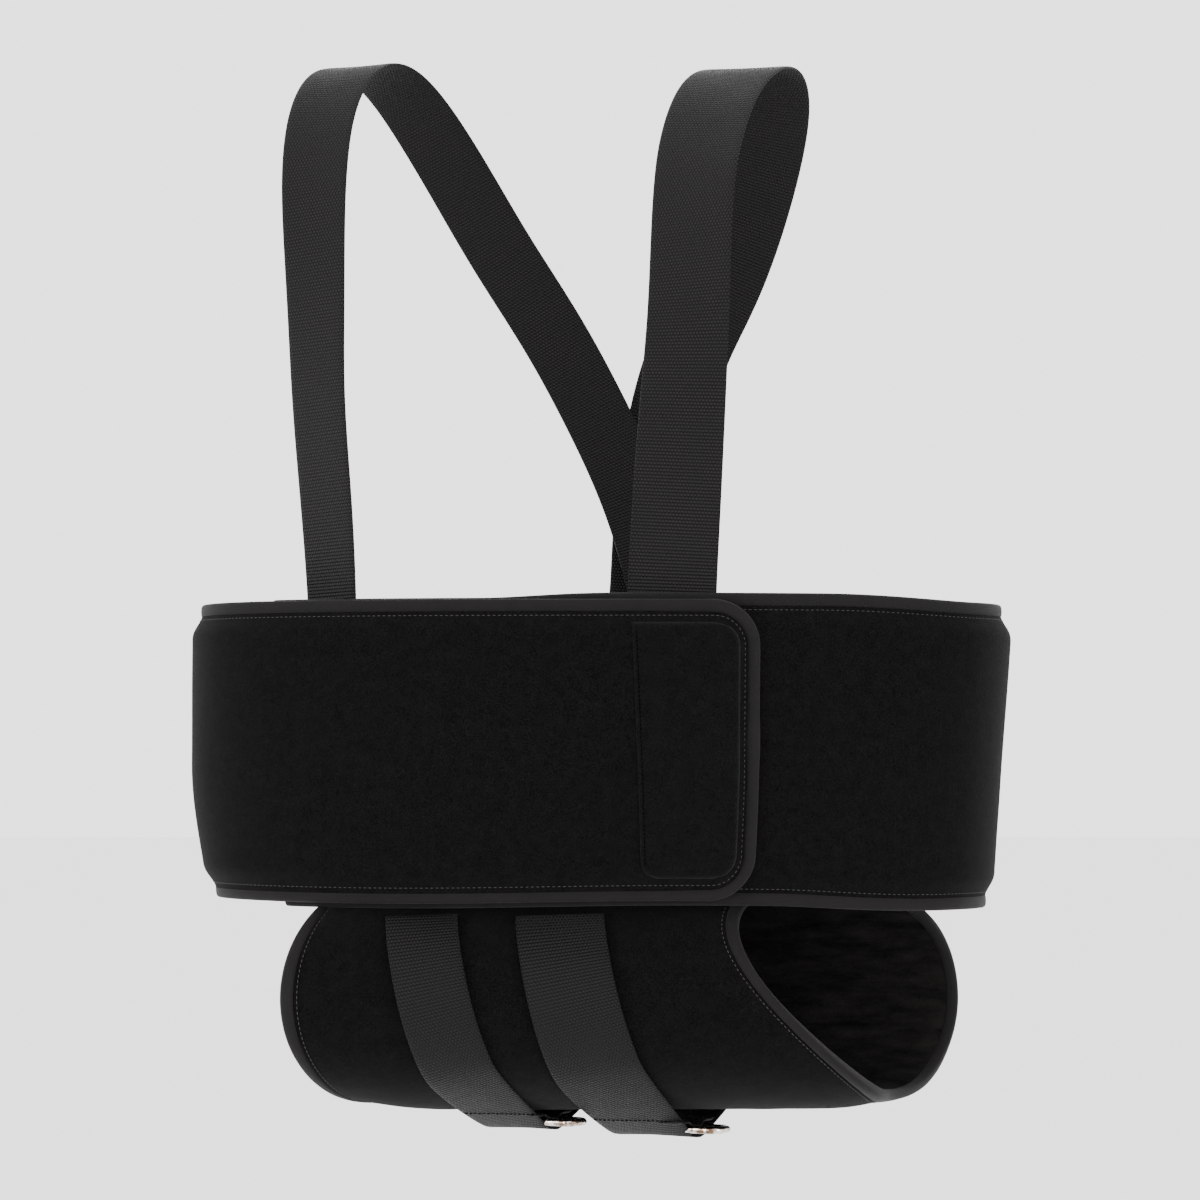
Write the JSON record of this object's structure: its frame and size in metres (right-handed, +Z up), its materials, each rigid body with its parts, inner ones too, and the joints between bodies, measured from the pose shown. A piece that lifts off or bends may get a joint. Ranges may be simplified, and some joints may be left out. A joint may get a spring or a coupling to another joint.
{
  "type": "arm sling",
  "caption": "Forearm sleeve hung on two webbing shoulder straps that cross at the back, with a lapped padded waist belt that holds the arm to the torso.",
  "frame": {"origin": "centre of the waist belt's loop, at half the belt's height", "axes": "+X along the loop's width towards the elbow end of the sleeve, +Y from the closing flap to the back of the belt, +Z up towards the shoulders"},
  "size_m": [0.4509, 0.2468, 0.5956],
  "materials": {
    "velour": "brushed black velour on foam",
    "tape": "smooth knitted binding tape",
    "webbing": "woven polypropylene webbing",
    "hook": "hook tape",
    "plush": "crushed plush lining",
    "nickel": "polished nickel plate"
  },
  "bodies": {
    "belt": {"belt_panel": "velour", "belt_top_binding": "tape", "belt_bottom_binding": "tape", "belt_end_binding": "tape", "shoulder_strap_left": "webbing", "shoulder_strap_right": "webbing"},
    "flap": {"flap_panel": "velour", "flap_binding": "tape", "flap_tab": "velour", "flap_hook_patch": "hook"},
    "strap_end_left": {"strap_end_left": "webbing", "strap_end_hook_left": "hook"},
    "strap_end_right": {"strap_end_right": "webbing", "strap_end_hook_right": "hook"},
    "sleeve": {"sleeve_shell": "velour", "sleeve_lining": "plush", "elbow_binding": "tape", "hand_binding": "tape", "strap_drop_left": "webbing", "strap_drop_right": "webbing"},
    "ring_left": {"ring_left": "nickel"},
    "ring_right": {"ring_right": "nickel"},
    "sleeve_strap_left": {"sleeve_strap_left": "webbing", "sleeve_strap_hook_left": "hook"},
    "sleeve_strap_right": {"sleeve_strap_right": "webbing", "sleeve_strap_hook_right": "hook"}
  },
  "joints": [
    {"name": "flap_peel", "type": "hinge", "parent": "belt", "child": "flap", "pos_m": [-0.20453, -0.05098, 0], "axis": [0, 0, -1], "range_deg": [0, 110]},
    {"name": "sleeve_swing", "type": "hinge", "parent": "belt", "child": "sleeve", "pos_m": [0, -0.08, 0.062], "axis": [1, 0, 0], "range_deg": [0, 10]},
    {"name": "ring_left_swing", "type": "hinge", "parent": "sleeve", "child": "ring_left", "pos_m": [-0.03233, -0.02984, -0.1982], "axis": [0.848, -0.5299, 0], "range_deg": [0, 20]},
    {"name": "ring_right_swing", "type": "hinge", "parent": "sleeve", "child": "ring_right", "pos_m": [0.04067, -0.02984, -0.202], "axis": [0.848, -0.5299, 0], "range_deg": [0, 20]},
    {"name": "sleeve_strap_left_peel", "type": "hinge", "parent": "ring_left", "child": "sleeve_strap_left", "pos_m": [-0.04027, -0.04256, -0.1982], "axis": [0.848, -0.5299, 0], "range_deg": [0, 80]},
    {"name": "sleeve_strap_right_peel", "type": "hinge", "parent": "ring_right", "child": "sleeve_strap_right", "pos_m": [0.03273, -0.04256, -0.202], "axis": [0.848, -0.5299, 0], "range_deg": [0, 80]},
    {"name": "strap_end_left_peel", "type": "hinge", "parent": "belt", "child": "strap_end_left", "pos_m": [0.054, 0.1312, 0.026], "axis": [0.9533, -0.0803, 0.291], "range_deg": [0, 80]},
    {"name": "strap_end_right_peel", "type": "hinge", "parent": "belt", "child": "strap_end_right", "pos_m": [0.014, 0.1366, 0.052], "axis": [0.9113, -0.03, -0.4106], "range_deg": [0, 80]}
  ]
}
